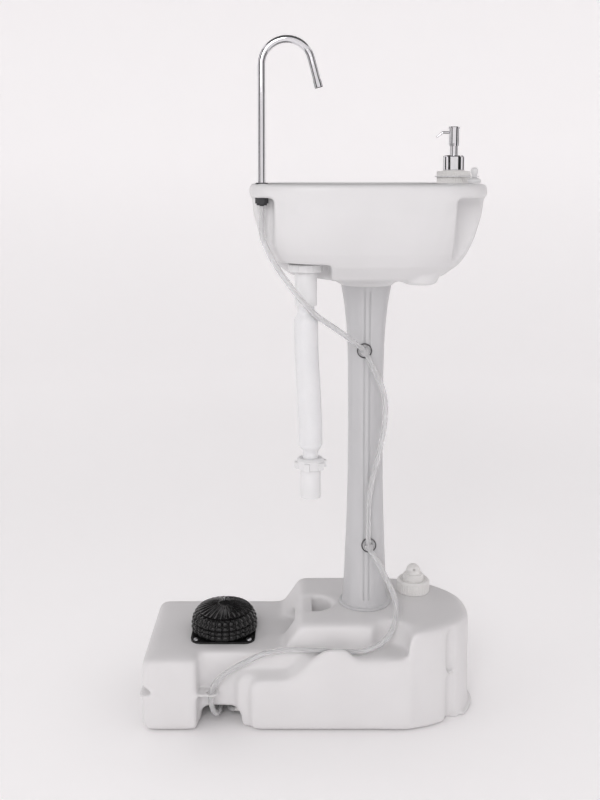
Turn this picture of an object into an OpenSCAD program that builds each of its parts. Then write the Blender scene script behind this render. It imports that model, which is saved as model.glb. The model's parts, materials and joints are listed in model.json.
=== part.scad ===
// Portable hand-wash stand: a water tank base with a foot pump, a hollow pedestal, a basin with a
// gooseneck tap, a soap pump, a drain with a hanging waste hose, and a clear water hose.
// Millimetres. The origin is on the floor under the pedestal's axis. +X is right, +Y is back, +Z is up.

/* [Tank] */
// Reach of the tank to the left of the pedestal axis
tank_left = 335; // [325:1:360]
// Reach of the tank to the right of the pedestal axis
tank_right = 160; // [154:1:175]
// Reach of the tank in front of the pedestal axis
tank_front = 114; // [112:1:120]
// Reach of the tank behind the pedestal axis
tank_back = 98; // [88:1:120]
// Height of the platform that carries the pump
platform_h = 111; // [108:1:120]
// Height of the block that carries the pedestal
block_h = 150; // [146:1:165]
// Wall of the tank
tank_wall = 3; // [2:0.5:4]
// Width of the pillar at the left of the front
pillar_w = 82; // [76:1:86]
// Width of the upright recess beside the pillar
recess_w = 57; // [50:1:62]
// Height of the plain front body at its left end
front_body_h = 80; // [70:1:86]
// Height of the bump that hides the hose, above the platform
bump_h = 15; // [10:1:20]

/* [Carry grip] */
// Width of the finger slot
grip_w = 30; // [26:1:36]
// Length of the finger slot
grip_len = 56; // [48:1:70]
// Width of the bar that the hand closes on
bar_w = 24; // [20:1:26]

/* [Foot pump] */
// Distance of the pump axis to the left of the pedestal axis
pump_left = 219; // [215:1:223]
// Distance of the pump axis in front of the pedestal axis
pump_front = 15; // [8:1:22]
// Diameter of the rubber bellows
bellows_d = 103; // [94:1:104]
// Height of the pump above its flange
pump_h = 40; // [36:1:46]
// Width of the square flange
flange_w = 98; // [95:1:104]
// Distance between the flange screws
screw_pitch = 80; // [79:1:84]
// Bore of the well that the pump hangs in
well_d = 74; // [70:1:78]
// Wall of the rubber bellows
bellows_wall = 2; // [1.5:0.5:3]

/* [Filling cap] */
// Distance of the cap to the right of the pedestal axis
cap_right = 81; // [76:1:86]
// Distance of the cap behind the pedestal axis
cap_behind = 39; // [30:1:46]
// Outer diameter of the cap
cap_d = 52; // [50:1:56]
// Height of the cap
cap_h = 20; // [18:1:24]
// Diameter of the vent plug's lower tier
vent_d = 33; // [28:1:36]

/* [Pedestal] */
// Diameter at the foot, above the foot ring
column_foot_d = 70; // [66:1:74]
// Diameter at the waist
column_waist_d = 54; // [50:1:58]
// Diameter at the top
column_top_d = 77; // [72:1:80]
// Height of the pedestal's top shoulder above the floor
column_top_z = 651; // [600:1:700]
// Wall of the pedestal
column_wall = 3; // [2:0.5:4]
// Diameter of the foot ring
foot_ring_d = 80; // [78:1:86]

/* [Basin] */
// Width of the basin's rim
basin_w = 345; // [338:1:360]
// Depth of the basin's rim from front to back
basin_d = 362; // [356:1:380]
// Height of the rim band
rim_h = 19; // [16:1:24]
// Height of the basin from the pedestal's shoulder to the rim
basin_h = 154; // [150:1:165]
// Wall of the basin
basin_wall = 3; // [2:0.5:4]
// Width of the deck at each side of the bowl's mouth
deck_side = 46.5; // [42:0.5:56]
// Width of the deck in front of the bowl's mouth and behind it
deck_front = 27; // [23:0.5:36]
// Depth of the bowl over the drain
bowl_depth = 106; // [100:0.5:110]

/* [Tap] */
// Diameter of the tap's tube
tap_tube_d = 10.5; // [9:0.5:12]
// Radius of the gooseneck's bend
tap_bend_r = 35; // [30:1:44]
// Height of the bend's centre above the rim
tap_rise = 164.5; // [140:0.5:185]
// Length of the straight end after the bend
tap_drop = 33; // [20:1:45]
// How far the straight end leans outwards, in degrees
tap_lean = 15; // [0:1:25]

/* [Drain] */
// Length that the waste hose hangs below the tail pipe
waste_len = 232; // [200:1:300]
// Outer diameter of the tail pipe
tail_d = 32; // [30:1:33]
// Outer diameter of the waste hose
waste_d = 35; // [34:1:38]
// Diameter of the spigot at the end of the waste hose
spigot_d = 30; // [28:0.5:32]
// Length of the spigot that stands clear
spigot_len = 43; // [35:1:50]

/* [Water hose] */
// Outer diameter of the clear water hose
hose_d = 8; // [7:0.5:9]
// Diameter of the suction cups that hold the hose
cup_d = 23; // [20:1:26]

/* [Soap pump] */
// Diameter of the knurled collar
soap_collar_d = 52; // [46:1:56]
// Diameter of the bottle that hangs in the deck
bottle_d = 36; // [32:1:38]
// Height of the bottle
bottle_h = 68; // [55:1:72]
// How far the soap head goes down
soap_travel = 10; // [6:1:12]
// Diameter of the stopper's plug
stopper_d = 20; // [18:1:24]

/* [Hidden] */
$fn = 48;

// Running clearance between pieces that turn or slide, and the gap left where pieces only face.
run_gap = 0.06;
face_gap = 0.3;
past = 1;

// Places that follow from the driving sizes.
pump_x = -pump_left;
pump_y = -pump_front;
well_r = well_d / 2;
front_y = -tank_front;
step_y = front_y + 14;
back_wall_y = front_y + 26;
upper_face_y = front_y + 30;
recess_x = [-tank_left + pillar_w, -tank_left + pillar_w + recess_w];
front_body_x = recess_x[1] + 21;
end_start_x = 20;
end_mid_y = -15;
slope_foot_x = -129;
slope_top_x = -105;
bump_top_z = platform_h + bump_h;
slot_x = [slope_top_x + bar_w - 1, slope_top_x + bar_w - 1 + grip_w];
slot_y = [-5 - grip_len / 2, -5 + grip_len / 2];
bar_drop = 4;
tunnel_h = 25;
tunnel_half_w = 30;
tunnel_end_y = pump_y + well_r + 5;
bay_x = 34;
bay_r = 28;
groove_at = [124, -78];
groove_r = 8;
groove_top_z = block_h - 8 - groove_r;
web_t = 3;
eye_at = [-232, -102];
eye_r = 6;
left_web_z = platform_h / 2 - web_t / 2;
right_web_z = block_h / 2 - web_t / 2;
tunnel_side_x = pump_x + tunnel_half_w;
outlet_y = -65;
outlet_z = 10;

cap_at = [cap_right, cap_behind];
neck_r = 21;
neck_wall = 3;
neck_h = 14;
neck_top_z = block_h + neck_h;
gasket_t = 1.6;
cap_z = block_h + face_gap;
cap_plate_z = neck_top_z + 0.1 + gasket_t;
cap_plate_t = 3;
vent_hole_r = 7;

flange_t = 3;
pump_z = platform_h + flange_t;
base_r = well_r - 1.5;
base_z = platform_h - 51;
base_t = 4;
port_x = 12;
port_r = 4;
port_len = 14;
port_z = base_z - port_len;
tread_d = 74;
tread_t = 4;
tread_z = pump_z + pump_h - tread_t - 5;
spring_r = 20;

foot_bore_r = column_foot_d / 2 - column_wall;
boss_h = 16;
column_spigot_r = column_top_d / 2 - 6.5;
socket_h = 22;
rim_z = column_top_z + basin_h;
band_z = rim_z - rim_h;
basin_x = -4;
pocket_z = rim_z - bowl_depth - 2 * basin_wall - 1;
basin_left_x = basin_x - basin_w / 2;
pocket_x = basin_left_x + 119.5;
niche_left_x = basin_left_x + 39.5;
niche_right_x = basin_x + basin_w / 2 - 56.5;
niche_y = 76 - basin_d / 2;
foot_boss_at = [72, -80];
foot_boss_z = rim_z - basin_h + 8;
drain_at = [basin_left_x + 83.5, -80];
drain_hole_r = 18;
bowl_floor_z = rim_z - bowl_depth;
bowl_half_w = basin_w / 2 - deck_side;
bowl_half_d = basin_d / 2 - deck_front;
bowl_at = [-17, -5];
bowl_floor_at = [drain_at[0] + 41, drain_at[1] + 40];

tap_at = [basin_left_x + 21.5, 63 - basin_d / 2];
tap_r = tap_tube_d / 2;
tap_wall = 1.2;
bush_r = tap_r + 2;
bush_z = band_z - 8;
tap_foot_z = bush_z + 5;
barb_cap_t = 3;
barb_z = bush_z - barb_cap_t - 1;
aerator_h = 9;
bend_z = rim_z + tap_rise;

nut_z = pocket_z - 14;
tail_r = tail_d / 2;
tail_wall = 2.5;
tail_z = pocket_z - 63;
waste_end = [drain_at[0] + 7, drain_at[1]];
hose_nut_z = tail_z - waste_len - 9;
hose_nut_h = 16;
hose_nut_d = 47;
end_r = spigot_d / 2;
nut_bore_r = end_r - 0.4;
spigot_top_z = hose_nut_z + 8;
cuff_r = 11.5;

soap_at = [basin_x + basin_w / 2 - 30.5, 40];
soap_collar_h = 18.5;
closure_z = rim_z + soap_collar_h + 1;
closure_r = 16.7;
closure_h = 23.7;
stem_r = 6.25;
head_z = closure_z + closure_h + soap_travel + 4;
head_h = 30;
bottle_wall = 2;
bottle_z = rim_z - bottle_h;
stopper_at = [basin_x + basin_w / 2 - 12.5, -40];

// ---------- outlines ----------

// Points on an arc about a centre.
function arc(c, r, a0, a1, n = 4) =
    [for (k = [0:n]) let (a = a0 + (a1 - a0) * k / n) [c[0] + r * cos(a), c[1] + r * sin(a)]];

// A smooth step from one point to another.
function ramp(p, q, n = 6) =
    [for (k = [0:n]) let (t = k / n) [p[0] + (q[0] - p[0]) * t,
        p[1] + (q[1] - p[1]) * t * t * (3 - 2 * t)]];

// A rectangle with round corners.
function round_rect(lo, hi, r) = concat(
    arc([hi[0] - r, lo[1] + r], r, -90, 0), arc([hi[0] - r, hi[1] - r], r, 0, 90),
    arc([lo[0] + r, hi[1] - r], r, 90, 180), arc([lo[0] + r, lo[1] + r], r, 180, 270));

// The tank's plan: straight at the left, half an ellipse at the right, drawn in by an inset.
function tank_plan(left_x, y0, inset, n = 18) = concat(
    [[left_x, tank_back - inset], [left_x, y0]],
    [for (k = [0:n]) let (a = -90 + 180 * k / n,
        side = sin(a) < 0 ? end_mid_y - y0 : tank_back - inset - end_mid_y)
        [end_start_x + (tank_right - end_start_x - inset) * cos(a), end_mid_y + side * sin(a)]]);

// One point of a squared ellipse at an angle.
function squared(a, n) = [sign(cos(a)) * pow(abs(cos(a)), 2 / n), sign(sin(a)) * pow(abs(sin(a)), 2 / n)];

// ---------- helpers ----------

module along_z(z0, z1) translate([0, 0, z0]) linear_extrude(z1 - z0) children();
// Extrudes an outline drawn in X and Z along Y.
module along_y(y0, y1) translate([0, y1, 0]) rotate([90, 0, 0]) linear_extrude(y1 - y0) children();
// Extrudes an outline drawn in Y and Z along X.
module along_x(x0, x1) translate([x0, 0, 0]) rotate([90, 0, 90]) linear_extrude(x1 - x0) children();

module box(lo, hi) translate(lo) cube(hi - lo);

// A block with every edge rounded.
module soft_block(lo, hi, r) {
    intersection() {
        along_z(lo[2], hi[2]) polygon(round_rect([lo[0], lo[1]], [hi[0], hi[1]], r));
        along_y(lo[1], hi[1]) polygon(round_rect([lo[0], lo[2]], [hi[0], hi[2]], r));
        along_x(lo[0], hi[0]) polygon(round_rect([lo[1], lo[2]], [hi[1], hi[2]], r));
    }
}

module disc(at, z0, z1, r) translate([at[0], at[1], z0]) cylinder(h = z1 - z0, r = r);

module tube(at, z0, z1, r, bore) difference() {
    disc(at, z0, z1, r);
    disc(at, z0 - past, z1 + past, bore);
}

// A solid of revolution about an upright axis, from [radius, z] points.
module turned(at, points) translate([at[0], at[1], 0]) rotate_extrude() polygon(points);

// A closed skin through rings of equally many points, with flat ends.
module skin(rings) {
    n = len(rings[0]);
    m = len(rings);
    points = [for (ring = rings) each ring];
    sides = [for (i = [0:m - 2], j = [0:n - 1]) let (k = (j + 1) % n)
        each [[i * n + j, i * n + k, (i + 1) * n + k], [i * n + j, (i + 1) * n + k, (i + 1) * n + j]]];
    caps = [for (j = [1:n - 2]) each [[0, j + 1, j], [(m - 1) * n, (m - 1) * n + j, (m - 1) * n + j + 1]]];
    polyhedron(points, concat([for (f = sides) [f[0], f[2], f[1]]], [for (f = caps) [f[0], f[2], f[1]]]));
}

function unit(v) = v / norm(v);

// Directions square to a path, carried along it without twist.
function carried(t, normal, i = 0, found = []) = i == len(t) ? found :
    let (was = i == 0 ? normal : found[i - 1], now = unit(was - (was * t[i]) * t[i]))
    carried(t, normal, i + 1, concat(found, [now]));

// Rings of a tube along a path. The first and last ring lie square to the given end directions.
function tube_rings(path, radii, sides, first, last, normal) =
    let (m = len(path),
         t = [for (i = [0:m - 1]) i == 0 ? first : i == m - 1 ? last : unit(path[i + 1] - path[i - 1])],
         u = carried(t, normal))
    [for (i = [0:m - 1]) let (v = cross(t[i], u[i]))
        [for (k = [0:sides - 1]) let (a = 360 * k / sides)
            path[i] + radii[i] * (u[i] * cos(a) + v * sin(a))]];

// A coil spring of round wire about an upright axis.
module coil_spring(at, z0, z1, r, wire_r, turns, steps, sides) {
    m = turns * steps;
    path = [for (i = [0:m]) let (a = 360 * i / steps)
        [at[0] + r * cos(a), at[1] + r * sin(a), z0 + wire_r + (z1 - z0 - 2 * wire_r) * i / m]];
    along = [for (i = [0:m]) let (a = 360 * i / steps) unit([-sin(a), cos(a),
        (z1 - z0) / (turns * 2 * PI * r)])];
    skin(tube_rings(path, [for (p = path) wire_r], sides, along[0], along[m], [0, 0, 1]));
}

// ---------- tank ----------

// The S-shaped top edge of the plain front body, from its left end up to the bump.
front_edge = ramp([front_body_x + 50, front_body_h], [-58, bump_top_z], 10);
ledge_edge = ramp([front_body_x + 47, front_body_h + 4], [-78, platform_h + 7], 8);

module low_body() soft_block([-tank_left, front_y, 0], [70, tank_back, platform_h], 12);

module right_body() intersection() {
    along_z(0, block_h) polygon(tank_plan(end_start_x - 5, front_y, 0));
    along_x(-20, tank_right + past) polygon(round_rect([front_y, 0], [tank_back, block_h], 10));
    along_y(front_y - past, tank_back + past) polygon(concat(
        [[30, 0]], arc([tank_right - 12, 12], 12, -90, 0), arc([tank_right - 10, block_h - 10], 10, 0, 90),
        [[70, block_h]], ramp([68, block_h - 1], [43, platform_h - 1]), [[30, platform_h - 1]]));
}

module upper_block() intersection() {
    along_z(platform_h - 20, block_h) polygon(tank_plan(-140, upper_face_y, 0.5));
    along_x(-140, tank_right) polygon(round_rect([upper_face_y, platform_h - 40], [tank_back, block_h], 8));
    along_y(upper_face_y - past, tank_back + past) polygon(concat(
        [[slope_foot_x - 6, platform_h - 10], [tank_right - 14, platform_h - 10]],
        arc([tank_right - 18, block_h - 8], 8, 0, 90), arc([slope_top_x + 8, block_h - 8], 8, 90, 150)));
}

module bump() along_y(front_y + 1, front_y + 12) polygon(concat(
    [[-90, platform_h - 15]], [for (p = front_edge) if (p[0] > -90) p],
        ramp([-36, bump_top_z], [-15, platform_h - 0.5]),
    [[-15, platform_h - 15]]));

// What is missing in front of the step and of the recess, as seen from the front.
module front_cuts() {
    along_y(front_y - 6, step_y) polygon(concat(
        [[recess_x[1] - 1, -past], [front_body_x + 12, -past]], arc([front_body_x + 12, 12], 12, 270, 180),
        arc([front_body_x + 14, front_body_h - 14], 14, 180, 90), front_edge,
        [[-58, bump_top_z + 6], [recess_x[1] - 1, bump_top_z + 6]]));
    along_y(front_y - 6, back_wall_y) polygon(concat(
        [[recess_x[1] - 1, front_body_h - 16], [recess_x[1], front_body_h - 16]],
        arc([recess_x[1] + 18, front_body_h - 14], 18, 180, 90), ledge_edge,
        [[-78, bump_top_z + 6], [recess_x[1] - 1, bump_top_z + 6]]));
    box([recess_x[0], front_y - 6, -past], [recess_x[1], back_wall_y, bump_top_z]);
}

module tunnel(grow) along_y(front_y - 6, tunnel_end_y + grow) polygon(concat(
    [[pump_x - tunnel_half_w - grow, -past], [tunnel_side_x + grow, -past]],
    arc([tunnel_side_x - 8, tunnel_h - 8], 8 + grow, 0, 90),
    arc([pump_x - tunnel_half_w + 8, tunnel_h - 8], 8 + grow, 90, 180)));

module grip(grow) {
    round_r = grip_len / 2 + grow;
    mid_y = (slot_y[0] + slot_y[1]) / 2;
    // the finger slot, square at the bar and round at the far end
    along_z(platform_h - grow, block_h + past) intersection() {
        polygon([[slot_x[0] - grow, slot_y[0] - grow], [slot_x[1] + 20, slot_y[0] - grow],
            [slot_x[1] + 20, slot_y[1] + grow], [slot_x[0] - grow, slot_y[1] + grow]]);
        translate([slot_x[1] - grip_len / 2, mid_y]) circle(r = round_r, $fn = 64);
    }
    // the way out under the bar, through the slope
    box([slope_foot_x - 12, slot_y[0] - grow, platform_h - grow],
        [slot_x[0] + 4, slot_y[1] + grow, platform_h + 16 + grow]);
}

// The bar and the slope in front of it lie a little lower than the top beside them.
module bar_recess() along_y(slot_y[0], slot_y[1]) polygon([[slot_x[0] + 1, block_h - bar_drop],
    [slope_top_x + 6, block_h - bar_drop], [slope_foot_x + 5.8, platform_h],
    [slope_foot_x - 12, platform_h], [slope_foot_x - 12, block_h + past],
    [slot_x[0] + 1, block_h + past]]);

// The round bay in front of the pedestal, with two V-shaped notches in its back edge.
module bay(grow) {
    disc([bay_x, front_y + 22], platform_h - grow, block_h + past, bay_r + grow);
    for (side = [-1, 1]) let (x = bay_x + side * 16.5)
        along_y(front_y + 32, front_y + 52 + grow) polygon([[x - 3.3 - grow, block_h + past],
            [x + 3.3 + grow, block_h + past], [x, block_h - 10 - 3.5 * grow]]);
}

// An upright groove with a round hood.
module groove(grow) {
    disc(groove_at, -past, groove_top_z, groove_r + grow);
    translate([groove_at[0], groove_at[1], groove_top_z]) sphere(r = groove_r + grow);
}

// The V-shaped notch at the left corner.
module notch(grow) along_y(front_y - 6, front_y + 24 + grow) polygon([
    [-tank_left - 6, left_web_z - 6 - grow], [-tank_left - 6, left_web_z + 13 + grow],
    [-tank_left + 30 + grow, left_web_z + 2 + grow], [-tank_left + 30 + grow, left_web_z - grow]]);

module webs() {
    // across the corner notch
    along_z(left_web_z, left_web_z + web_t) polygon(concat([[-tank_left + 34, front_y + 1],
        [-tank_left + 34, front_y + 26],
        [-tank_left - 3, front_y + 26]], arc([-tank_left + 9, front_y + 13], 12, 180, 270)));
    // across the recess, with the eye that the hose goes through
    difference() {
        along_z(left_web_z, left_web_z + web_t) polygon(concat([[recess_x[0] - 2, back_wall_y + 2],
            [recess_x[0] - 2, front_y + 2]], arc([recess_x[0] + 23, front_y + 10], 8, -90, 0),
                [[recess_x[0] + 31, back_wall_y + 2]]));
        disc(eye_at, left_web_z - past, left_web_z + web_t + past, eye_r);
    }
    // across the groove
    along_z(right_web_z, right_web_z + web_t) intersection() {
        translate(groove_at) circle(r = groove_r + 1);
        polygon(tank_plan(end_start_x - 5, front_y + 2, 2));
    }
    // the lip along the foot of the right end
    along_z(2, 6) intersection() {
        difference() {
            offset_plan(6);
            polygon(tank_plan(end_start_x - 5, front_y + 6, 6));
        }
        translate([118, front_y + 48]) square([60, tank_back - front_y]);
    }
}

module offset_plan(out) polygon(tank_plan(end_start_x - 5, front_y - out, -out));

// The space for the water, everywhere at least a wall inside the outer form.
module tank_cavity() difference() {
    w = tank_wall;
    union() {
        soft_block([-tank_left + w, back_wall_y + w, w], [60, tank_back - w, platform_h - w], 9);
        soft_block([-tank_left + w, front_y + w, w], [recess_x[0] - w, 0, platform_h - w], 9);
        intersection() {
            along_z(w, front_body_h - w) polygon(tank_plan(front_body_x + w, front_y + w, w));
            soft_block([front_body_x + w, front_y + w, w], [tank_right - w, 0, front_body_h - w], 9);
        }
        intersection() {
            along_z(w, block_h - w) polygon(tank_plan(slot_x[0] + 6, upper_face_y + w, w));
            soft_block([slot_x[0] + 6, upper_face_y + w, w],
                [tank_right - w, tank_back - w, block_h - w], 9);
        }
        intersection() {
            along_z(w, block_h - w) polygon(tank_plan(end_start_x - 5, front_y + w, w));
            soft_block([73, front_y + w, w], [tank_right - w, tank_back - w, block_h - w], 9);
        }
    }
    disc([pump_x, pump_y], 0, block_h, well_r + w);
    tunnel(w);
    grip(w);
    bay(w);
    groove(w);
    notch(w);
    disc([0, 0], platform_h, block_h, 6);
}

module tank_shell() color("white") difference() {
    union() {
        difference() {
            union() {
                low_body();
                right_body();
                upper_block();
                bump();
            }
            front_cuts();
            groove(0);
            notch(0);
        }
        webs();
        // the spigot for the pedestal and the filling neck
        disc([0, 0], block_h - 2, block_h + boss_h, foot_bore_r - face_gap);
        disc(cap_at, block_h - 2, neck_top_z, neck_r);
    }
    tank_cavity();
    disc(cap_at, block_h - tank_wall - 2, neck_top_z + past, neck_r - neck_wall);
    disc([pump_x, pump_y], tunnel_h - past, platform_h + past, well_r);
    tunnel(0);
    grip(0);
    bar_recess();
    bay(0);
    for (x = [-1, 1], y = [-1, 1])
        disc([pump_x + x * screw_pitch / 2, pump_y + y * screw_pitch / 2],
            platform_h - tank_wall - past, platform_h + past, 2);
    translate([tunnel_side_x - past, outlet_y, outlet_z]) rotate([0, 90, 0]) cylinder(h = tank_wall + 3,
        r = 5);
}

// ---------- filling cap ----------

module fill_cap() color("whitesmoke") {
    grips = 36;
    difference() {
        turned(cap_at, [[neck_r + face_gap, cap_z], [cap_d / 2 - 1, cap_z], [cap_d / 2, cap_z + 1.5],
            [cap_d / 2, cap_z + cap_h - 3], [cap_d / 2 - 2.5, cap_z + cap_h],
                [cap_d / 2 - 5, cap_z + cap_h],
            [cap_d / 2 - 6.5, cap_plate_z + cap_plate_t], [vent_hole_r, cap_plate_z + cap_plate_t],
            [vent_hole_r, cap_plate_z], [neck_r + face_gap, cap_plate_z]]);
        for (k = [0:grips - 1]) rotate_about(cap_at, 360 * k / grips)
            disc([cap_at[0] + cap_d / 2 + 1.1, cap_at[1]], cap_z + 1.8, cap_z + cap_h - 3.2, 1.7);
    }
}

module rotate_about(at, a) translate([at[0], at[1], 0]) rotate([0, 0, a]) translate([-at[0], -at[1],
    0]) children();

module fill_cap_gasket() color("dimgray")
    tube(cap_at, neck_top_z + 0.1, neck_top_z + 0.1 + gasket_t, neck_r, neck_r - neck_wall);

module vent_plug() color("whitesmoke") {
    z = cap_plate_z + cap_plate_t + 0.1;
    difference() {
        turned(cap_at, [[0, z - cap_plate_t - 3], [vent_hole_r - run_gap, z - cap_plate_t - 3],
            [vent_hole_r - run_gap, z],
            [vent_d / 2, z], [vent_d / 2, z + 8], [vent_d / 2 - 2, z + 10.5], [vent_d / 2 - 5, z + 11],
            [vent_d / 2 - 5.2, z + 17], [vent_d / 2 - 7.5, z + 21.5], [vent_d / 2 - 11, z + 24.5],
                [0, z + 26]]);
        translate([cap_at[0], cap_at[1] - 7, z + 17]) rotate([60, 0, 0]) cylinder(h = 12, r = 1.8);
    }
}

// ---------- foot pump ----------

module pump_flange() color("black") difference() {
    along_z(platform_h, platform_h + flange_t) polygon(round_rect([pump_x - flange_w / 2,
        pump_y - flange_w / 2],
        [pump_x + flange_w / 2, pump_y + flange_w / 2], 16));
    disc([pump_x, pump_y], platform_h - past, platform_h + flange_t + past, base_r - 3);
    for (x = [-1, 1], y = [-1, 1])
        disc([pump_x + x * screw_pitch / 2, pump_y + y * screw_pitch / 2], platform_h - past,
            platform_h + flange_t + past, 2.05);
}

module pump_screws() color("silver") for (x = [-1, 1], y = [-1, 1])
    turned([pump_x + x * screw_pitch / 2, pump_y + y * screw_pitch / 2],
        [[0, platform_h - tank_wall], [1.9, platform_h - tank_wall], [1.9, pump_z + 0.05],
            [4, pump_z + 0.05], [3.6, pump_z + 1.4],
        [2.4, pump_z + 2.2], [0, pump_z + 2.5]]);

// A cup that hangs in the well under the flange, with two hose ports in its floor.
module pump_base() color("black") difference() {
    union() {
        disc([pump_x, pump_y], base_z, platform_h, base_r);
        for (side = [-1, 1]) disc([pump_x + side * port_x, pump_y], port_z, base_z + 1, port_r);
    }
    disc([pump_x, pump_y], base_z + base_t, platform_h + past, base_r - 3);
    for (side = [-1, 1])
        disc([pump_x + side * port_x, pump_y], port_z - past, base_z + base_t + past, 2);
}

module flap_valve(side, z) difference() {
    disc([pump_x + side * port_x, pump_y], z, z + 1.5, 7);
    disc([pump_x + side * port_x, pump_y], z - past, z + 1.5 + past, 1);
}

module pump_inlet_valve() color("dimgray") flap_valve(1, base_z + base_t);

module pump_outlet_valve() color("dimgray") flap_valve(-1, base_z + base_t);

bellows_r = bellows_d / 2;
shoulder_r = tread_d / 2 + 4;

// How far the bellows' outer line is drawn in, at shares of its height: three rolled tiers and a dome.
bellows_steps = [[5, 0.004], [1, 0.05], [0, 0.11], [0, 0.19], [1.6, 0.24], [0, 0.29], [0, 0.42],
    [1.9, 0.47], [0.8, 0.52], [1.5, 0.68], [3.4, 0.73], [4.6, 0.81], [7.2, 0.92]];

function bellows_line(inset) = concat(
    [for (step = bellows_steps) [bellows_r - inset - step[0], pump_z + (tread_z - pump_z) * step[1]]],
    [[shoulder_r - inset, tread_z]]);

module pump_bellows() color("black") difference() {
    outer = bellows_line(0);
    inner = bellows_line(bellows_wall);
    turned([pump_x, pump_y], concat([[0, pump_z + 0.1]], outer, [[0, tread_z]]));
    turned([pump_x, pump_y], concat([[0, pump_z - past], [inner[0][0], pump_z - past]], inner,
        [[shoulder_r - bellows_wall, tread_z + past], [0, tread_z + past]]));
}

module pump_spring() color("silver")
    coil_spring([pump_x, pump_y], base_z + base_t + 3.2, tread_z - 0.5, spring_r, 1.5, 5, 10, 6);

module pump_tread() color("black") {
    r = tread_d / 2;
    turned([pump_x, pump_y], [[0, tread_z + 0.1], [shoulder_r, tread_z + 0.1],
        [shoulder_r, tread_z + 1.6], [r, tread_z + tread_t], [r * 0.76, tread_z + tread_t + 3],
        [r * 0.4, tread_z + tread_t + 4.5], [0, tread_z + tread_t + 5]]);
}

// ---------- tank outlet and hoses ----------

module tank_outlet() color("white") translate([tunnel_side_x, outlet_y, outlet_z]) rotate([0, 90,
    0]) difference() {
    union() {
        translate([0, 0, -3]) cylinder(h = 3, r = 6.5);
        translate([0, 0, -3]) cylinder(h = tank_wall + 5, r = 5 - run_gap);
        translate([0, 0, -11]) cylinder(h = 8.5, r = 3);
    }
    translate([0, 0, -12]) cylinder(h = 30, r = 1.8);
}

hose_r = hose_d / 2;
hose_sides = 8;
upper_clip_at = [-4, -38, 553];
lower_clip_at = [4, -38, 252];

// The water hose's route: tap, past the tail pipe, down the pedestal, behind the bump, down to the pump.
water_route = [[tap_at[0], tap_at[1], barb_z], [-155, -118, 746], [-154, -117, 730],
    [-148, -116, 714], [-138, -113, 694], [-121, -109, 668], [-100, -106, 640], [-78, -96, 616],
    [-52, -73, 595], [-28, -53, 575], upper_clip_at, [9, -36, 526], [21, -37, 502], [27, -38, 476],
    [27, -38, 448], [22, -38, 416], [15, -37, 384], [8, -36, 354], [4, -36, 326], [3, -36, 288],
    lower_clip_at, [15, -42, 234], [28, -46, 210], [40, -52, 184], [44, -60, 168], [41, -74, 152],
    [31, -88, 138], [16, -95, 126], [-4, -97, 118], [-32, -97, 115], [-66, -96, 116],
    [-100, -94, 117], [-132, -95, 117], [-158, -98, 112], [-182, -101, 102], [-204, -102, 90],
    [-222, -103, 76], [-231, -103, 62], [-233, -102, 46], [-231, -99, 30], [-226, -90, 18],
    [-222, -70, 14], [-224, -48, 14], [-229, -28, 20], [-231, -17, port_z - 14],
    [pump_x - port_x, pump_y, port_z]];

// The suction hose's route: tank outlet to the pump's inlet port.
suction_route = [[-200, -65, 10], [-205, -63, 10], [-210, -52, 11], [-210, -36, 15], [-208, -22, 24],
    [-207, -16, port_z - 12], [pump_x + port_x, pump_y, port_z]];

module swept_hose(route, first, last, normal)
    skin(tube_rings(route, [for (p = route) hose_r], hose_sides, first, last, normal));

module water_hose() color("azure") swept_hose(water_route, [0, 0, -1], [0, 0, 1], [1, 0, 0]);

module suction_hose() color("azure") swept_hose(suction_route, [-1, 0, 0], [0, 0, 1], [0, 0, 1]);

// ---------- pedestal ----------

waist_z = 388;

// Radius of the pedestal at a height.
function column_r(z) = let (low = (waist_z - z) / (waist_z - block_h),
    high = (z - waist_z) / (column_top_z - waist_z))
    column_waist_d / 2 + (z < waist_z
        ? (column_foot_d - column_waist_d) / 2 * pow(low, 1.6)
        : (column_top_d - column_waist_d) / 2 * pow(high, 5));

column_steps = [for (k = [0:16]) block_h + 10 + (column_top_z - block_h - 10) * k / 16];

function column_line(inset) = concat([for (z = column_steps) [column_r(z) - inset, z]]);

module pedestal() color("gainsboro") difference() {
    union() {
        difference() {
            turned([0, 0], concat([[0, block_h + 10]], column_line(0), [[0, column_top_z]]));
            // two grooves leave a rib down the front
            for (side = [-1, 1]) intersection() {
                box([side * 3.8 - 1.2, -foot_ring_d, block_h + 16],
                    [side * 3.8 + 1.2, 0, column_top_z - 8]);
                difference() {
                    turned([0, 0], concat([[0, block_h + 10]], column_line(-1), [[0, column_top_z]]));
                    turned([0, 0], concat([[0, block_h + 9]], column_line(1.4), [[0, column_top_z + 1]]));
                }
            }
        }
        turned([0, 0], [[0, block_h], [foot_ring_d / 2 - 1, block_h], [foot_ring_d / 2, block_h + 1],
            [foot_ring_d / 2, block_h + 2.5], [foot_ring_d / 2 - 1.5, block_h + 3.5],
            [column_r(block_h + 10) + 0.8, block_h + 4.5], [column_r(block_h + 10), block_h + 10],
            [0, block_h + 10]]);
        disc([0, 0], column_top_z - 1, column_top_z + socket_h - 1, column_spigot_r);
    }
    turned([0, 0], concat([[0, block_h - past], [foot_bore_r, block_h - past],
        [foot_bore_r, block_h + boss_h + 2]],
        [for (z = column_steps) if (z > block_h + boss_h
            + 6 && z < column_top_z - 20) [column_r(z) - column_wall, z]],
        [[column_spigot_r - column_wall, column_top_z - 6],
            [column_spigot_r - column_wall, column_top_z + socket_h], [0, column_top_z + socket_h]]));
}

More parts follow.
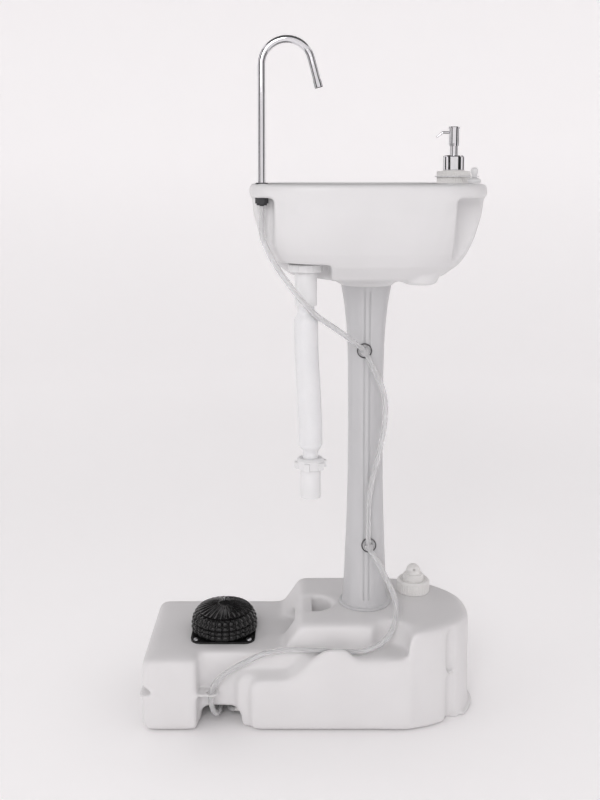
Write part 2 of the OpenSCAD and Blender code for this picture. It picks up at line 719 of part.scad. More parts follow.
// The cup of each clip sits on the pedestal's front, where the hose passes.
module hose_clip(at, hose_dir) {
    back_y = -column_r(at[2]) + 0.4;
    cup_r = cup_d / 2;
    color("azure") difference() {
        union() {
            translate([at[0], back_y, at[2]]) rotate([90, 0, 0]) cylinder(h = 1.6, r = cup_r);
            translate([at[0], back_y - 1.6, at[2]]) rotate([90, 0, 0]) cylinder(h = 2, r1 = cup_r - 1,
                r2 = 5);
            translate([at[0], back_y, at[2]]) rotate([90, 0, 0]) cylinder(h = back_y - at[1], r = 3.5);
            translate(at) aimed(hose_dir) translate([0, 0, -4]) cylinder(h = 8, r = hose_r + 1.8);
        }
        translate(at) aimed(hose_dir) translate([0, 0, -30]) cylinder(h = 60, r = hose_r + 0.4);
        turned([0, 0], [[0, at[2] - 20], [column_r(at[2] - 20), at[2] - 20],
            [column_r(at[2] + 20), at[2] + 20], [0, at[2] + 20]]);
    }
}

// Turns +Z onto a direction that lies in the X and Z plane.
module aimed(dir) rotate([0, atan2(dir[0], dir[1]), 0]) children();

module upper_hose_clip() hose_clip(upper_clip_at, [37, -49]);

module lower_hose_clip() hose_clip(lower_clip_at, [12, -54]);

// ---------- basin ----------

// Shares of the basin's height, width and depth, and the squareness, of its outer form from the rim down.
basin_levels = [[rim_h / basin_h, 0.4884, 0.4972, 3.8], [0.273, 0.4841, 0.4917, 3.6],
    [0.39, 0.4725, 0.4751, 3.5], [0.513, 0.458, 0.453, 3.4], [0.636, 0.4348, 0.4227, 3.3],
    [0.76, 0.4029, 0.3785, 3.1], [0.89, 0.3333, 0.3039, 2.6], [0.935, 0.203, 0.189, 2.2],
    [0.955, 0.152, 0.144, 2], [0.975, 0.129, 0.1225, 2],
    [1, (column_top_d / 2 + 1.5) / basin_w, (column_top_d / 2 + 1.5) / basin_d, 2]];

// The middle of a ring moves from the rim's middle to the pedestal's axis.
function level_ring(l, inset) = [for (j = [0:39]) let (p = squared(9 * j + 4.5, l[3]))
    [basin_x * (1 - pow(l[0], 3)) + p[0] * (l[1] * basin_w - inset), p[1] * (l[2] * basin_d - inset),
        rim_z - l[0] * basin_h + (inset > 0 ? inset * 0.8 : 0)]];

module basin_body(inset) skin([for (k = [len(basin_levels) - 1:-1:0]) level_ring(basin_levels[k], inset)]);

function rim_ring(z, inset) = [for (j = [0:39]) let (p = squared(9 * j + 4.5, 4))
    [basin_x + p[0] * (basin_w / 2 - inset), p[1] * (basin_d / 2 - inset), z]];

module rim_band() skin([rim_ring(band_z - 0.5, 2.5), rim_ring(band_z + 2, 0.6), rim_ring(band_z + 8, 0),
    rim_ring(rim_z - 5, 0.5), rim_ring(rim_z - 1.5, 2), rim_ring(rim_z, 5)]);

// Share of the depth, half width, half depth and squareness of the bowl. Its middle moves to the drain.
bowl_levels = [[0, 1, 1, 3.2], [0.08, 0.97, 0.975, 3.2], [0.35, 0.93, 0.93, 3.2],
    [0.65, 0.84, 0.83, 3.2], [0.86, 0.72, 0.68, 3.4],
    [0.96, 0.62, 0.55, 3.8], [1, 0.54, 0.46, 4]];

function bowl_ring(l, grow, z) = let (mid = bowl_at + (bowl_floor_at - bowl_at) * l[0])
    [for (j = [0:39]) let (p = squared(9 * j + 4.5, l[3]))
        [mid[0] + p[0] * (bowl_half_w * l[1] + grow), mid[1] + p[1] * (bowl_half_d * l[2] + grow), z]];

module bowl(grow) skin(concat(
    [for (k = [len(bowl_levels) - 1:-1:0]) bowl_ring(bowl_levels[k], grow,
        rim_z - bowl_depth * bowl_levels[k][0] - grow)],
    [bowl_ring(bowl_levels[0], grow, rim_z + 2)]));

module niche(x, side, grow) along_z(column_top_z - 20, band_z - 0.5 + grow) polygon(side < 0
    ? concat([[-basin_w, -basin_d], [x + grow, -basin_d]],
        arc([x - 14, niche_y - 14], 14 + grow, 0, 90), [[-basin_w, niche_y + grow]])
    : concat([[basin_w, -basin_d], [basin_w, niche_y + grow]],
        arc([x + 14, niche_y - 14], 14 + grow, 90, 180), [[x - grow, -basin_d]]));

module drain_pocket(grow) box([-basin_w, -basin_d, column_top_z - 20],
    [pocket_x + grow, -34 + grow, pocket_z + grow]);

module basin_void() difference() {
    w = basin_wall;
    union() {
        basin_body(w);
        skin([rim_ring(band_z + 1, 8 + w), rim_ring(rim_z - w, 8 + w)]);
    }
    bowl(w);
    niche(niche_left_x, -1, w);
    niche(niche_right_x, 1, w);
    drain_pocket(w);
    disc(drain_at, pocket_z, bowl_floor_z, drain_hole_r + w);
    disc(tap_at, band_z - 2, rim_z, bush_r + w + 1);
    disc(soap_at, bottle_z - w, rim_z, bottle_d / 2 + w + face_gap);
    disc([0, 0], column_top_z - 2, column_top_z + socket_h + w, column_spigot_r + w + 3.2);
}

module basin() color("white") difference() {
    union() {
        difference() {
            basin_body(0);
            niche(niche_left_x, -1, 0);
            niche(niche_right_x, 1, 0);
            drain_pocket(0);
        }
        rim_band();
        // a round boss under the right front
        turned(foot_boss_at, [[0, foot_boss_z], [18, foot_boss_z], [25, foot_boss_z + 3],
            [29, foot_boss_z + 16], [0, foot_boss_z + 29]]);
    }
    bowl(0);
    basin_void();
    disc(tap_at, band_z - 4, rim_z + past, bush_r + 0.1);
    disc(soap_at, bottle_z, rim_z + past, bottle_d / 2 + face_gap);
    disc([0, 0], column_top_z - past, column_top_z + socket_h, column_spigot_r + 0.2);
    disc(drain_at, pocket_z - past, bowl_floor_z + past, drain_hole_r);
}

// ---------- drain ----------

module drain_strainer() color("silver") difference() {
    union() {
        disc(drain_at, bowl_floor_z, bowl_floor_z + 1.6, 23);
        disc(drain_at, pocket_z - 9, bowl_floor_z + 1, drain_hole_r - 0.3);
    }
    disc(drain_at, pocket_z - 10, bowl_floor_z - 2, drain_hole_r - 3);
    disc(drain_at, bowl_floor_z - 3, bowl_floor_z + 3, 3);
    for (k = [0:7]) rotate_about(drain_at, 45 * k) disc([drain_at[0] + 9.5, drain_at[1]],
        bowl_floor_z - 3, bowl_floor_z + 3, 3);
}

module drain_gasket() color("dimgray") tube(drain_at, pocket_z - 2, pocket_z, 26, drain_hole_r - 0.1);

module drain_nut() color("white") {
    difference() {
        union() {
            turned(drain_at, [[0, nut_z], [23, nut_z], [24.5, nut_z + 1.5], [24.5, nut_z + 10.5],
                [23, nut_z + 12], [0, nut_z + 12]]);
            for (k = [0:11]) rotate_about(drain_at, 30 * k)
                box([drain_at[0] + 22, drain_at[1] - 2, nut_z + 1],
                    [drain_at[0] + 25.5, drain_at[1] + 2, nut_z + 11]);
        }
        disc(drain_at, nut_z - past, nut_z + 13, drain_hole_r + 0.1);
    }
}

module tail_pipe() color("white") difference() {
    union() {
        disc(drain_at, tail_z, pocket_z - 9.1, tail_r);
        turned(drain_at, [[0, tail_z], [cuff_r - 1, tail_z], [tail_r, tail_z + 3], [0, tail_z + 4]]);
    }
    disc(drain_at, tail_z + 6, pocket_z - 8, tail_r - tail_wall);
    disc(drain_at, tail_z - past, tail_z + 6 + past, cuff_r - 1 - tail_wall);
}

// The waste hose hangs from the tail pipe: a narrow cuff, a cone, the plain hose, and a cuff again.
waste_end_z = tail_z - waste_len;
waste_route = concat(
    [for (drop = [0, 10, 22]) [drain_at[0], drain_at[1], tail_z - drop]],
    [for (k = [1:5]) let (t = k / 5, s = t * t * (3 - 2 * t))
        [drain_at[0] + (waste_end[0] - drain_at[0]) * s, drain_at[1],
            tail_z - 22 - (waste_len - 22 - 27) * t]],
    [for (rise = [16, 0]) [waste_end[0], waste_end[1], waste_end_z + rise]]);
waste_radii = concat([cuff_r + 1, cuff_r + 1], [for (k = [0:5]) waste_d / 2], [cuff_r, cuff_r]);

module waste_hose() color("whitesmoke") skin(tube_rings(waste_route, waste_radii, 12, [0, 0, -1],
    [0, 0, -1], [1, 0, 0]));

module waste_hose_nut() color("white") difference() {
    union() {
        turned(waste_end, [[0, hose_nut_z + 0.1], [19, hose_nut_z + 0.1], [20, hose_nut_z + 1],
            [20, hose_nut_z + hose_nut_h - 3],
            [17, hose_nut_z + hose_nut_h], [0, hose_nut_z + hose_nut_h]]);
        for (k = [0:5]) rotate_about(waste_end, 60 * k + 15)
            box([waste_end[0] + 18, waste_end[1] - 4, hose_nut_z + 1],
                [waste_end[0] + hose_nut_d / 2, waste_end[1] + 4, hose_nut_z + 11]);
    }
    disc(waste_end, hose_nut_z - past, spigot_top_z + face_gap, nut_bore_r);
    disc(waste_end, hose_nut_z, hose_nut_z + hose_nut_h + past, cuff_r + 0.5);
}

module waste_hose_end() color("white") difference() {
    union() {
        disc(waste_end, hose_nut_z - spigot_len, hose_nut_z, end_r);
        disc(waste_end, hose_nut_z - past, spigot_top_z, nut_bore_r - run_gap);
    }
    disc(waste_end, hose_nut_z - spigot_len - past, spigot_top_z + past, end_r - 2.5);
}

// ---------- tap ----------

module tap_spout() color("silver") {
    difference() {
        spout_solid(tap_r);
        spout_solid(tap_r - tap_wall);
    }
    // the aerator
    at_bend_end() translate([0, 0, tap_drop - 1]) difference() {
        cylinder(h = aerator_h + 1, r = tap_r + 0.8);
        translate([0, 0, -past]) cylinder(h = aerator_h + 1 + 2 * past, r = tap_r - 2);
    }
}

// The straight end is a hair wider than the bend and starts inside it, so that the two join.
module spout_solid(r) {
    disc(tap_at, tap_foot_z, bend_z, r);
    translate([tap_at[0] + tap_bend_r, tap_at[1], bend_z]) rotate([90, 0, 180])
        rotate_extrude(angle = 180 - tap_lean) translate([tap_bend_r, 0]) circle(r = r);
    at_bend_end() translate([0, 0, -0.5]) cylinder(h = tap_drop + 0.5, r = r + 0.05);
}

// Puts its children at the end of the bend, with +Z along the straight end.
module at_bend_end() translate([tap_at[0] + tap_bend_r, tap_at[1], bend_z]) rotate([0, -tap_lean, 0])
    translate([tap_bend_r, 0, 0]) rotate([180, 0, 0]) children();

module tap_bush() color("dimgray") difference() {
    union() {
        disc(tap_at, bush_z, rim_z + 0.5, bush_r);
        disc(tap_at, rim_z, rim_z + 1.5, bush_r + 1.5);
    }
    disc(tap_at, bush_z - past, rim_z + 3, tap_r + run_gap);
}

module tap_nut() color("dimgray") difference() {
    translate([tap_at[0], tap_at[1], bush_z - 0.5]) cylinder(h = band_z - bush_z, r = bush_r + 2, $fn = 6);
    disc(tap_at, bush_z - 0.5 - past, band_z, bush_r + 0.05);
}

module tap_hose_barb() color("silver") {
    z = bush_z - barb_cap_t;
    difference() {
        union() {
            disc(tap_at, z, bush_z, bush_r);
            disc(tap_at, bush_z - past, tap_foot_z - face_gap, tap_r - 0.1);
            disc(tap_at, barb_z, z + past, hose_r - 0.6);
        }
        disc(tap_at, barb_z - past, tap_foot_z + past, 2);
    }
}

// ---------- soap pump and stopper ----------

module soap_bottle() color("whitesmoke") difference() {
    disc(soap_at, bottle_z + 0.2, rim_z + 4, bottle_d / 2);
    disc(soap_at, bottle_z + 0.2 + bottle_wall, rim_z + 5, bottle_d / 2 - bottle_wall);
}

module soap_collar() color("whitesmoke") difference() {
    knurls = 44;
    turned(soap_at, [[0, rim_z], [soap_collar_d / 2, rim_z],
        [soap_collar_d / 2, rim_z + soap_collar_h - 1.5],
        [soap_collar_d / 2 - 1.5, rim_z + soap_collar_h], [closure_r + 1, rim_z + soap_collar_h],
            [closure_r + 1, closure_z], [0, closure_z]]);
    disc(soap_at, rim_z - past, rim_z + 12, bottle_d / 2 + 0.1);
    disc(soap_at, rim_z, closure_z + past, 9);
    for (k = [0:knurls - 1]) rotate_about(soap_at, 360 * k / knurls)
        disc([soap_at[0] + soap_collar_d / 2 + 0.9, soap_at[1]], rim_z + 2, rim_z + soap_collar_h - 3, 1.5);
}

module soap_closure() color("silver") difference() {
    turned(soap_at, [[0, closure_z], [closure_r - 1, closure_z], [closure_r, closure_z + 1.2],
        [closure_r, closure_z + closure_h - 2.6], [closure_r - 1, closure_z + closure_h - 1],
        [closure_r - 3.5, closure_z + closure_h - 0.3], [stem_r + 2, closure_z + closure_h],
        [0, closure_z + closure_h]]);
    disc(soap_at, closure_z - past, closure_z + closure_h - 3, closure_r - 2);
    disc(soap_at, closure_z - past, closure_z + closure_h + past, stem_r + run_gap);
}

module soap_dip_tube() color("whitesmoke") {
    tube(soap_at, bottle_z + 8, closure_z - 17, 3, 2);
    tube(soap_at, closure_z - 16.5, closure_z - 1, 8, 6.8);
    tube(soap_at, closure_z - 18, closure_z - 16, 8, 2);
}

module soap_spring() color("silver") coil_spring(soap_at, closure_z - 15.8, closure_z + 7.8, 4.6, 0.5,
    6, 8, 6);

module soap_plunger() color("silver")
    tube(soap_at, closure_z + 8, head_z + 4, stem_r, 2.5);

// The head, with its nozzle drawn out to the left and bent down at its end.
module soap_head() color("silver") difference() {
    top_z = head_z + head_h;
    nozzle_r = 1.9;
    union() {
        turned(soap_at, [[0, head_z], [7.2, head_z], [8, head_z + 4], [8, top_z - 3], [8.6, top_z - 3],
            [8.6, top_z - 0.8], [7.8, top_z], [0, top_z]]);
        translate([soap_at[0], soap_at[1], top_z - 9]) rotate([0, -90, 0]) cylinder(h = 17.7, r = nozzle_r);
        translate([soap_at[0] - 17.7, soap_at[1], top_z - 9]) {
            sphere(r = nozzle_r);
            rotate([0, -128.5, 0]) cylinder(h = 11.9, r1 = nozzle_r, r2 = 1.4);
        }
    }
    disc(soap_at, head_z - past, head_z + 14, stem_r + run_gap);
}

module basin_stopper() color("white") turned(stopper_at,
    [[0, rim_z + 0.2], [stopper_d / 2 - 1, rim_z + 0.2], [stopper_d / 2, rim_z + 3],
    [stopper_d / 2, rim_z + 5.5], [stopper_d / 2 - 3, rim_z + 7], [4, rim_z + 8.5], [3.2, rim_z + 11],
        [4.6, rim_z + 14],
    [5.6, rim_z + 17.5], [5, rim_z + 21], [3, rim_z + 23], [0, rim_z + 23.6]]);

// The strap joins the stopper's neck to a loose eye round the soap collar.
module stopper_strap() color("white") {
    z = rim_z + 9.4;
    loop_r = soap_collar_d / 2 + face_gap + 0.4;
    difference() {
        union() {
            disc(soap_at, z, z + 2, loop_r + 2.5);
            disc(stopper_at, z, z + 2, 7);
            along_z(z, z + 2) polygon(strap_line());
        }
        disc(soap_at, z - past, z + 3, loop_r);
        disc(stopper_at, z - past, z + 3, 3.75);
    }
}

function strap_line() = let (d = stopper_at - soap_at, u = unit(d), v = [-u[1], u[0]] * 3)
    [soap_at + u * (soap_collar_d / 2 + 2) + v, stopper_at - u * 5 + v, stopper_at - u * 5 - v,
        soap_at + u * (soap_collar_d / 2 + 2) - v];

tank_shell();
fill_cap();
fill_cap_gasket();
vent_plug();
pump_flange();
pump_screws();
pump_base();
pump_inlet_valve();
pump_outlet_valve();
pump_bellows();
pump_spring();
pump_tread();
tank_outlet();
suction_hose();
water_hose();
upper_hose_clip();
lower_hose_clip();
pedestal();
basin();
drain_strainer();
drain_gasket();
drain_nut();
tail_pipe();
waste_hose();
waste_hose_nut();
waste_hose_end();
tap_spout();
tap_bush();
tap_nut();
tap_hose_barb();
soap_bottle();
soap_collar();
soap_closure();
soap_dip_tube();
soap_spring();
soap_plunger();
soap_head();
basin_stopper();
stopper_strap();
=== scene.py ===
"""The looks of a portable hand-wash stand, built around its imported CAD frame. Metres; +Z is up."""
import json
import math

import bpy
import numpy as np
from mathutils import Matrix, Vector


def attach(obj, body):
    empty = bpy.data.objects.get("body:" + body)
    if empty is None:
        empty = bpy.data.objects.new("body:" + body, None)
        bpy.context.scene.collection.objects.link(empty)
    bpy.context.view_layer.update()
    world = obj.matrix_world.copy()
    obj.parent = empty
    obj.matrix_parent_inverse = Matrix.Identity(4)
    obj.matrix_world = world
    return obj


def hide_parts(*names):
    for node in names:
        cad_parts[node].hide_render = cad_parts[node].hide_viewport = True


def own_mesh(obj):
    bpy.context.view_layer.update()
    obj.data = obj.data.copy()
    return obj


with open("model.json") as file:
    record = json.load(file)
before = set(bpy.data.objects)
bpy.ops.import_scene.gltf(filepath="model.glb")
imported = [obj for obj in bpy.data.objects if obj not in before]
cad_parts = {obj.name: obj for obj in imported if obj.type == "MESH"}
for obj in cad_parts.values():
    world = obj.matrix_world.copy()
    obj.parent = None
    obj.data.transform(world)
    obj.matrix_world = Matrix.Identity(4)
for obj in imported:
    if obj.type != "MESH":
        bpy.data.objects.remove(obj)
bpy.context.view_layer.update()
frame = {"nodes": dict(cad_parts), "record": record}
nodes = frame["nodes"]
scene = bpy.context.scene
MM = 0.001


# ---------- camera ----------

camera_data = bpy.data.cameras.new("camera")
camera_data.sensor_width = 36.0
camera_data.lens = 43.67
camera_data.shift_x = 0.0019
camera_data.shift_y = -0.18
camera_data.clip_end = 50.0
camera_data.dof.use_dof = False
camera = bpy.data.objects.new("camera", camera_data)
camera.location = (-0.1037, -1.4770, 0.8150)
camera.rotation_euler = (math.radians(90.0 - 4.68), 0.0, 0.0)
scene.collection.objects.link(camera)
scene.camera = camera


# ---------- node materials ----------

def new_material(name):
    material = bpy.data.materials.new(name)
    material.use_nodes = True
    tree = material.node_tree
    shader = tree.nodes["Principled BSDF"]
    return material, tree, shader


def noise_node(tree, scale, detail, roughness=0.5):
    where = tree.nodes.new("ShaderNodeTexCoord")
    noise = tree.nodes.new("ShaderNodeTexNoise")
    noise.inputs["Scale"].default_value = scale
    noise.inputs["Detail"].default_value = detail
    noise.inputs["Roughness"].default_value = roughness
    tree.links.new(where.outputs["Object"], noise.inputs["Vector"])
    return noise


def ramp_node(tree, source, stops):
    ramp = tree.nodes.new("ShaderNodeValToRGB")
    elements = ramp.color_ramp.elements
    elements[0].position, elements[0].color = stops[0][0], (*stops[0][1], 1.0)
    elements[1].position, elements[1].color = stops[-1][0], (*stops[-1][1], 1.0)
    for position, colour in stops[1:-1]:
        elements.new(position).color = (*colour, 1.0)
    tree.links.new(source, ramp.inputs["Fac"])
    return ramp


def range_node(tree, source, low, high):
    node = tree.nodes.new("ShaderNodeMapRange")
    node.inputs["To Min"].default_value = low
    node.inputs["To Max"].default_value = high
    tree.links.new(source, node.inputs["Value"])
    return node


def bump_node(tree, shader, height, strength, distance):
    bump = tree.nodes.new("ShaderNodeBump")
    bump.inputs["Strength"].default_value = strength
    bump.inputs["Distance"].default_value = distance
    tree.links.new(height, bump.inputs["Height"])
    tree.links.new(bump.outputs["Normal"], shader.inputs["Normal"])


def moulded(name, colour, roughness=0.42, grain=900.0, ripple=9.0, depth=0.00025,
            subsurface=0.0, spread=0.04):
    """Moulded plastic: a fine satin grain, a slow ripple in the skin, and faint changes of tone."""
    material, tree, shader = new_material(name)
    tone = noise_node(tree, ripple, 2.0)
    low = tuple(c * (1.0 - spread) for c in colour)
    ramp = ramp_node(tree, tone.outputs["Fac"], [(0.3, low), (0.7, colour)])
    tree.links.new(ramp.outputs["Color"], shader.inputs["Base Color"])
    fine = noise_node(tree, grain, 2.0, 0.6)
    rough = range_node(tree, fine.outputs["Fac"], roughness - 0.06, roughness + 0.08)
    tree.links.new(rough.outputs["Result"], shader.inputs["Roughness"])
    both = tree.nodes.new("ShaderNodeMath")
    both.operation = "MULTIPLY_ADD"
    both.inputs[1].default_value = 0.12
    tree.links.new(fine.outputs["Fac"], both.inputs[0])
    tree.links.new(tone.outputs["Fac"], both.inputs[2])
    bump_node(tree, shader, both.outputs["Value"], 0.25, depth)
    shader.inputs["IOR"].default_value = 1.5
    shader.inputs["Subsurface Weight"].default_value = subsurface
    shader.inputs["Subsurface Radius"].default_value = (1.0, 0.95, 0.9)
    shader.inputs["Subsurface Scale"].default_value = 0.004
    return material


def rubber(name, colour, roughness, gloss=0.5):
    """Rubber with a little dust on it and a fine grain."""
    material, tree, shader = new_material(name)
    shader.inputs["Specular IOR Level"].default_value = gloss
    dust = noise_node(tree, 60.0, 5.0, 0.65)
    dusty = tuple(c * 1.8 + 0.004 for c in colour)
    ramp = ramp_node(tree, dust.outputs["Fac"], [(0.35, colour), (0.8, dusty)])
    tree.links.new(ramp.outputs["Color"], shader.inputs["Base Color"])
    rough = range_node(tree, dust.outputs["Fac"], roughness - 0.08, roughness + 0.14)
    tree.links.new(rough.outputs["Result"], shader.inputs["Roughness"])
    fine = noise_node(tree, 1400.0, 2.0)
    bump_node(tree, shader, fine.outputs["Fac"], 0.2, 0.0002)
    return material


def metal(name, colour, roughness, streak):
    """Polished or plated metal with faint smears along its surface."""
    material, tree, shader = new_material(name)
    shader.inputs["Metallic"].default_value = 1.0
    smear = noise_node(tree, streak, 4.0, 0.6)
    ramp = ramp_node(tree, smear.outputs["Fac"], [(0.3, tuple(c * 0.94 for c in colour)), (0.7, colour)])
    tree.links.new(ramp.outputs["Color"], shader.inputs["Base Color"])
    rough = range_node(tree, smear.outputs["Fac"], roughness * 0.6, roughness * 1.5)
    tree.links.new(rough.outputs["Result"], shader.inputs["Roughness"])
    return material


def clear_vinyl(name, colour, transmission, roughness, ior):
    """Soft clear vinyl: glassy, with a slow haze along it."""
    material, tree, shader = new_material(name)
    haze = noise_node(tree, 14.0, 2.0)
    rough = range_node(tree, haze.outputs["Fac"], roughness * 0.7, roughness * 1.5)
    tree.links.new(rough.outputs["Result"], shader.inputs["Roughness"])
    ramp = ramp_node(tree, haze.outputs["Fac"], [(0.3, tuple(c * 0.96 for c in colour)), (0.7, colour)])
    tree.links.new(ramp.outputs["Color"], shader.inputs["Base Color"])
    shader.inputs["Transmission Weight"].default_value = transmission
    shader.inputs["IOR"].default_value = ior
    return material


WHITE = moulded("tank_white", (0.80, 0.79, 0.793), depth=0.00018)
BASIN_WHITE = moulded("basin_white", (0.78, 0.775, 0.78), roughness=0.36, ripple=7.0, depth=0.00018)
# painted shade: the pedestal's white plastic is given a darker colour for the dimmer light it stands in below
# the basin
PEDESTAL_PAINTED_SHADE_WHITE = moulded("pedestal_white_painted_shade", (0.60, 0.60, 0.61), roughness=0.30, ripple=12.0, depth=0.00015)
CAP_WHITE = moulded("cap_white", (0.86, 0.85, 0.835), roughness=0.45, ripple=40.0)
NUT_WHITE = moulded("nut_white", (0.83, 0.83, 0.835), roughness=0.3, ripple=30.0)
HOSE_WHITE = moulded("hose_white", (0.86, 0.86, 0.87), roughness=0.28, ripple=25.0, subsurface=0.35)
BLACK_RUBBER = rubber("bellows_rubber", (0.006, 0.006, 0.006), 0.18, 0.4)
GREY_RUBBER = rubber("gasket_rubber", (0.16, 0.16, 0.16), 0.55)
BLACK_PLASTIC = moulded("black_plastic", (0.03, 0.03, 0.034), roughness=0.4, ripple=50.0)
SMOKED_RIM = moulded("smoked_rim", (0.06, 0.055, 0.06), roughness=0.15, ripple=200.0)
CHROME = metal("chrome_plate", (0.80, 0.80, 0.82), 0.05, 30.0)
STEEL = metal("zinc_plate", (0.66, 0.66, 0.68), 0.26, 120.0)
CLEAR = clear_vinyl("clear_vinyl", (0.97, 0.97, 0.975), 0.72, 0.05, 1.32)

BY_SLOT = {
    "tank_plastic": WHITE,
    "basin_plastic": BASIN_WHITE,
    "pedestal_plastic": PEDESTAL_PAINTED_SHADE_WHITE,
    "cap_plastic": CAP_WHITE,
    "white_plastic": NUT_WHITE,
    "waste_plastic": HOSE_WHITE,
    "black_rubber": BLACK_RUBBER,
    "grey_rubber": GREY_RUBBER,
    "black_plastic": BLACK_PLASTIC,
    "chrome": CHROME,
    "steel": STEEL,
    "clear_pvc": CLEAR,
}


def paint(obj, material):
    obj.data.materials.clear()
    obj.data.materials.append(material)


def smooth(obj, angle=35.0):
    """Smooth shading, kept sharp over edges steeper than an angle. Only shading changes."""
    mesh = obj.data
    mesh.shade_smooth()
    mesh.set_sharp_from_angle(angle=math.radians(angle))


for part in frame["record"]["subparts"]:
    paint(nodes[part["node"]], BY_SLOT[part["material_slot"]])
    smooth(nodes[part["node"]])


# ---------- mesh helpers ----------

def mesh_object(name, points, faces, material, body="root"):
    mesh = bpy.data.meshes.new(name)
    mesh.from_pydata([tuple(p) for p in points], [], faces)
    mesh.validate()
    mesh.update()
    obj = bpy.data.objects.new(name, mesh)
    scene.collection.objects.link(obj)
    paint(obj, material)
    smooth(obj)
    if body:
        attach(obj, body)
    return obj


def loft(rings, closed_ends=True):
    """Points and quads through rings of equally many points; the ends are fans about their middles."""
    n = len(rings[0])
    points = [p for ring in rings for p in ring]
    faces = []
    for i in range(len(rings) - 1):
        for j in range(n):
            k = (j + 1) % n
            faces.append((i * n + j, i * n + k, (i + 1) * n + k, (i + 1) * n + j))
    if closed_ends:
        for ring, start, turn in ((rings[0], 0, -1), (rings[-1], (len(rings) - 1) * n, 1)):
            points.append(tuple(np.mean(np.array(ring), 0)))
            middle = len(points) - 1
            for j in range(n):
                k = (j + 1) % n
                faces.append((start + j, start + k, middle)[::turn])
    return points, faces


def smooth_line(points, per_mm):
    """A Catmull-Rom line through points in millimetres, as points in metres about per_mm apart."""
    p = [Vector(q) for q in points]
    p = [2 * p[0] - p[1]] + p + [2 * p[-1] - p[-2]]
    line = []
    for i in range(1, len(p) - 2):
        steps = max(1, round((p[i + 1] - p[i]).length / per_mm))
        for s in range(steps):
            t = s / steps
            line.append(0.5 * ((2 * p[i]) + (p[i + 1] - p[i - 1]) * t
                               + (2 * p[i - 1] - 5 * p[i] + 4 * p[i + 1] - p[i + 2]) * t ** 2
                               + (3 * p[i] - p[i - 1] - 3 * p[i + 1] + p[i + 2]) * t ** 3))
    line.append(p[-2])
    return [q * MM for q in line]


def rings_along(line, radii, sides):
    """Rings square to a line, carried along it without twist."""
    m = len(line)
    along = [(line[min(i + 1, m - 1)] - line[max(i - 1, 0)]).normalized() for i in range(m)]
    side = along[0].orthogonal().normalized()
    turns = [2 * math.pi * k / sides for k in range(sides)]
    rings = []
    for i in range(m):
        side = (side - side.dot(along[i]) * along[i]).normalized()
        other = along[i].cross(side)
        rings.append([line[i] + radii[i] * (side * math.cos(a) + other * math.sin(a)) for a in turns])
    return rings


def hollow_tube(name, line, outer, inner, material, sides):
    """A tube with an open bore: its outside, its inside, and the two rings that join them."""
    outside = rings_along(line, outer, sides)
    inside = rings_along(line, inner, sides)
    rings = outside + inside[::-1]
    points, faces = loft(rings + [rings[0]], closed_ends=False)
    n, m = sides, len(rings)
    faces = [tuple(i % (n * m) for i in f) for f in faces]
    return mesh_object(name, points[:n * m], faces, material)


def lathe(name, at, profile, material, body="root", sides=64, modulate=None):
    """A turned form about an upright axis from (radius, z) in millimetres.
    modulate(angle, radius, z) changes a radius."""
    rings = []
    for r, z in profile:
        ring = []
        for k in range(sides):
            a = 2 * math.pi * k / sides
            reach = modulate(a, r, z) if modulate else r
            ring.append(((at[0] + reach * math.cos(a)) * MM, (at[1] + reach * math.sin(a)) * MM, z * MM))
        rings.append(ring)
    points, faces = loft(rings)
    return mesh_object(name, points, faces, material, body)


# ---------- cords ----------

# The routes of the CAD's hoses at its default sizes, in millimetres.
WATER_ROUTE = [
    (-155, -118, 774), (-155, -118, 746), (-154, -117, 730), (-148, -116, 714), (-138, -113, 694),
    (-121, -109, 668), (-100, -106, 640), (-78, -96, 616), (-52, -73, 595), (-28, -53, 575), (-4, -38, 553),
    (9, -36, 526), (21, -37, 502), (27, -38, 476), (27, -38, 448), (22, -38, 416), (15, -37, 384),
    (8, -36, 354), (4, -36, 326), (3, -36, 288), (4, -38, 252), (15, -42, 234), (28, -46, 210),
    (40, -52, 184), (44, -60, 168), (41, -74, 152), (31, -88, 138), (16, -95, 126), (-4, -97, 118),
    (-32, -97, 115), (-66, -96, 116), (-100, -94, 117), (-132, -95, 117), (-158, -98, 112),
    (-182, -101, 102), (-204, -102, 90), (-222, -103, 76), (-231, -103, 62), (-233, -102, 46),
    (-231, -99, 30), (-226, -90, 18), (-222, -70, 14), (-224, -48, 14), (-229, -28, 20),
    (-231, -17, 32), (-231, -15, 46)]
SUCTION_ROUTE = [
    (-200, -65, 10), (-205, -63, 10), (-210, -52, 11), (-210, -36, 15), (-208, -22, 24),
    (-207, -16, 34), (-207, -15, 46)]
WASTE_ROUTE = [(-93, -80, 629), (-93, -80, 619), (-93, -80, 607)]
for step in range(1, 6):
    share = step / 5
    WASTE_ROUTE.append((-93 + 7 * share * share * (3 - 2 * share), -80, 607 - 183 * share))
WASTE_ROUTE += [(-86, -80, 413), (-86, -80, 397)]
HOSE_R, HOSE_BORE_R, HOSE_SIDES = 0.0040, 0.0026, 32
WASTE_WALL = 0.0018

water_line = smooth_line(WATER_ROUTE, 2.5)
water_hose = hollow_tube("water_hose_tube", water_line, [HOSE_R] * len(water_line),
                         [HOSE_BORE_R] * len(water_line), CLEAR, HOSE_SIDES)
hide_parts("water_hose")

suction_line = smooth_line(SUCTION_ROUTE, 3.0)
suction_hose = hollow_tube("suction_hose_tube", suction_line, [HOSE_R] * len(suction_line),
                           [HOSE_BORE_R] * len(suction_line), CLEAR, HOSE_SIDES)
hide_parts("suction_hose")

waste_line = smooth_line(WASTE_ROUTE, 2.5)


